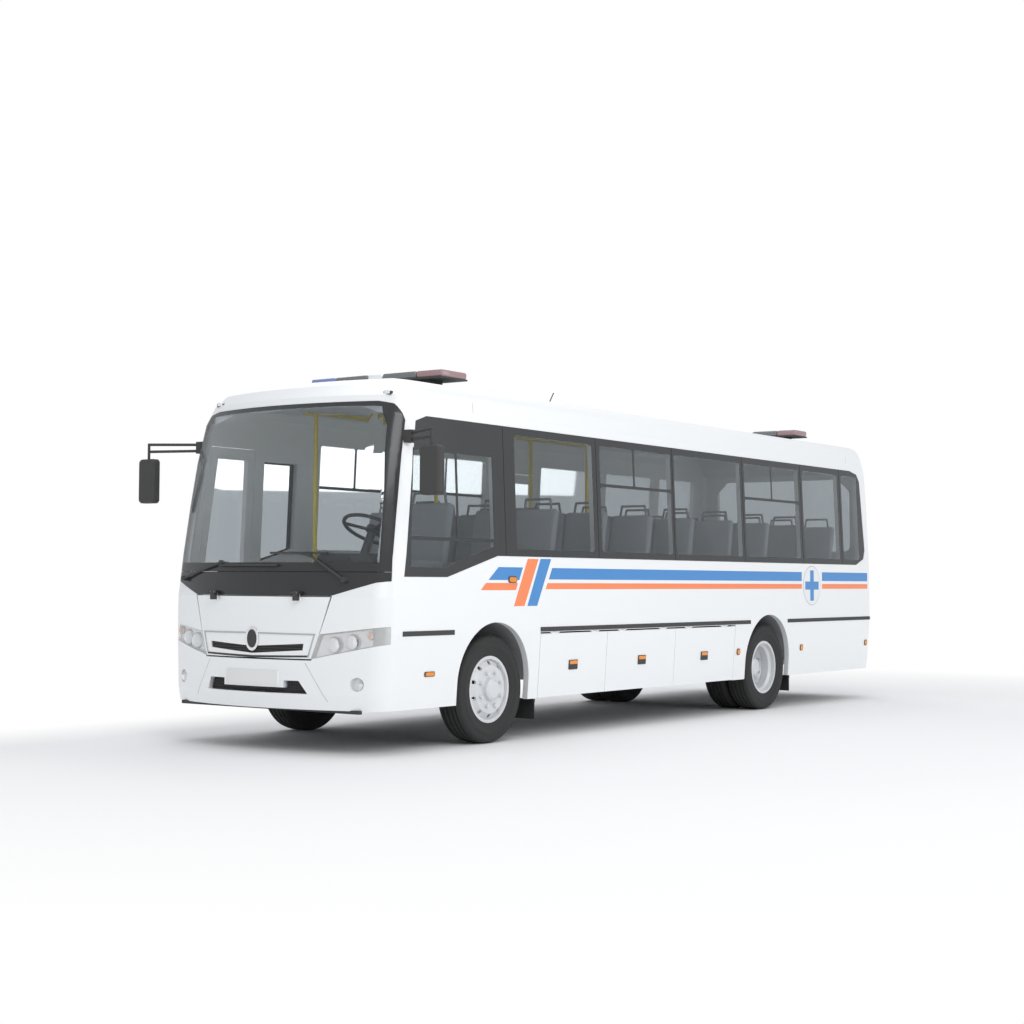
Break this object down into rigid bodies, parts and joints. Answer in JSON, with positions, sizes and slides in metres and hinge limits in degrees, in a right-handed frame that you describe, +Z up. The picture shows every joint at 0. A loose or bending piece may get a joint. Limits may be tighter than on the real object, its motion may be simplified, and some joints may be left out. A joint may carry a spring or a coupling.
{
  "type": "medical bus",
  "caption": "White midibus fitted as a mobile clinic: blue and orange side stripes, dark glazed sides, roof beacon bars, two side doors, side flaps and twin rear wheels.",
  "frame": {"origin": "on the ground under the middle of the outline", "axes": "+X to the bus's left, +Y to its rear, +Z up"},
  "size_m": [3.076, 8.7478, 2.931],
  "materials": {
    "body_white": "gloss white paint",
    "moulding_white": "gloss white moulding",
    "glass_clear": "clear",
    "glass_tinted": "tinted",
    "lamp_lens": "clear lens",
    "lamp_red": "red lens",
    "beacon": "clear and coloured lens",
    "trim_black": "grained black",
    "cowl_black": "dark gloss",
    "steel_black": "black chassis paint",
    "iron_black": "painted black",
    "wheel_silver": "silver paint",
    "tyre_rubber": "matt",
    "flap_rubber": "matt",
    "floor_grey": "floor covering",
    "seat_cloth": "grey cloth",
    "rail_yellow": "yellow powder coat"
  },
  "bodies": {
    "bus": {"left_wall": "body_white", "right_wall": "body_white", "roof": "body_white", "front_mask": "moulding_white", "front_bumper": "moulding_white", "cowl_panel": "cowl_black", "windscreen": "glass_clear", "front_lamps": "lamp_lens", "rear_mask": "moulding_white", "rear_lamps": "lamp_red", "saloon_glazing": "glass_tinted", "rub_rails": "trim_black", "light_bars": "beacon", "mirrors": "trim_black", "wipers": "trim_black", "mud_flaps": "flap_rubber", "tanks": "steel_black", "engine_block": "iron_black", "seats": "seat_cloth", "dashboard": "trim_black", "grab_rails": "rail_yellow", "frame_rails": "steel_black", "cross_bearers": "steel_black", "floor": "floor_grey", "door_steps": "floor_grey", "front_axle": "iron_black", "rear_axle": "iron_black"},
    "front_door": {"front_door": "body_white", "front_door_glass": "glass_tinted"},
    "mid_door": {"mid_door": "body_white", "mid_door_glass": "glass_tinted"},
    "front_lid": {"front_lid": "moulding_white"},
    "flap_front": {"flap_front": "body_white"},
    "flap_middle": {"flap_middle": "body_white"},
    "flap_rear": {"flap_rear": "body_white"},
    "knuckle_left": {"knuckle_left": "iron_black"},
    "knuckle_right": {"knuckle_right": "iron_black"},
    "wheel_front_left": {"wheel_front_left": "wheel_silver", "tyre_front_left": "tyre_rubber"},
    "wheel_front_right": {"wheel_front_right": "wheel_silver", "tyre_front_right": "tyre_rubber"},
    "wheels_rear_left": {"wheels_rear_left": "wheel_silver", "tyres_rear_left": "tyre_rubber"},
    "wheels_rear_right": {"wheels_rear_right": "wheel_silver", "tyres_rear_right": "tyre_rubber"}
  },
  "joints": [
    {"name": "steer_left", "type": "hinge", "parent": "bus", "child": "knuckle_left", "pos_m": [0.835, -2.775, 0.419], "axis": [0, 0, 1], "range_deg": [-35, 35]},
    {"name": "steer_right", "type": "hinge", "parent": "bus", "child": "knuckle_right", "pos_m": [-0.835, -2.775, 0.419], "axis": [0, 0, 1], "range_deg": [-35, 35]},
    {"name": "spin_front_left", "type": "hinge", "parent": "knuckle_left", "child": "wheel_front_left", "pos_m": [0.922, -2.775, 0.419], "axis": [1, 0, 0], "continuous": true},
    {"name": "spin_rear_left", "type": "hinge", "parent": "bus", "child": "wheels_rear_left", "pos_m": [0.922, 1.853, 0.419], "axis": [1, 0, 0], "continuous": true},
    {"name": "spin_front_right", "type": "hinge", "parent": "knuckle_right", "child": "wheel_front_right", "pos_m": [-0.922, -2.775, 0.419], "axis": [1, 0, 0], "continuous": true},
    {"name": "spin_rear_right", "type": "hinge", "parent": "bus", "child": "wheels_rear_right", "pos_m": [-0.922, 1.853, 0.419], "axis": [1, 0, 0], "continuous": true},
    {"name": "front_door_swing", "type": "hinge", "parent": "bus", "child": "front_door", "pos_m": [-1.107, -3.319, 0.345], "axis": [0, 0, 1], "range_deg": [-85, 0]},
    {"name": "mid_door_swing", "type": "hinge", "parent": "bus", "child": "mid_door", "pos_m": [-1.107, -0.048, 0.345], "axis": [0, 0, 1], "range_deg": [0, 85]},
    {"name": "front_lid_lift", "type": "hinge", "parent": "bus", "child": "front_lid", "pos_m": [0, -4.364, 1.172], "axis": [1, 0, 0], "range_deg": [-60, 0]},
    {"name": "flap_front_lift", "type": "hinge", "parent": "bus", "child": "flap_front", "pos_m": [1.097, -1.6835, 0.847], "axis": [0, 1, 0], "range_deg": [-85, 0]},
    {"name": "flap_middle_lift", "type": "hinge", "parent": "bus", "child": "flap_middle", "pos_m": [1.097, -0.6015, 0.847], "axis": [0, 1, 0], "range_deg": [-85, 0]},
    {"name": "flap_rear_lift", "type": "hinge", "parent": "bus", "child": "flap_rear", "pos_m": [1.097, 0.5455, 0.847], "axis": [0, 1, 0], "range_deg": [-85, 0]}
  ],
  "couplings": [
    {"joint": "steer_right", "follows": "steer_left", "ratio": 1}
  ]
}
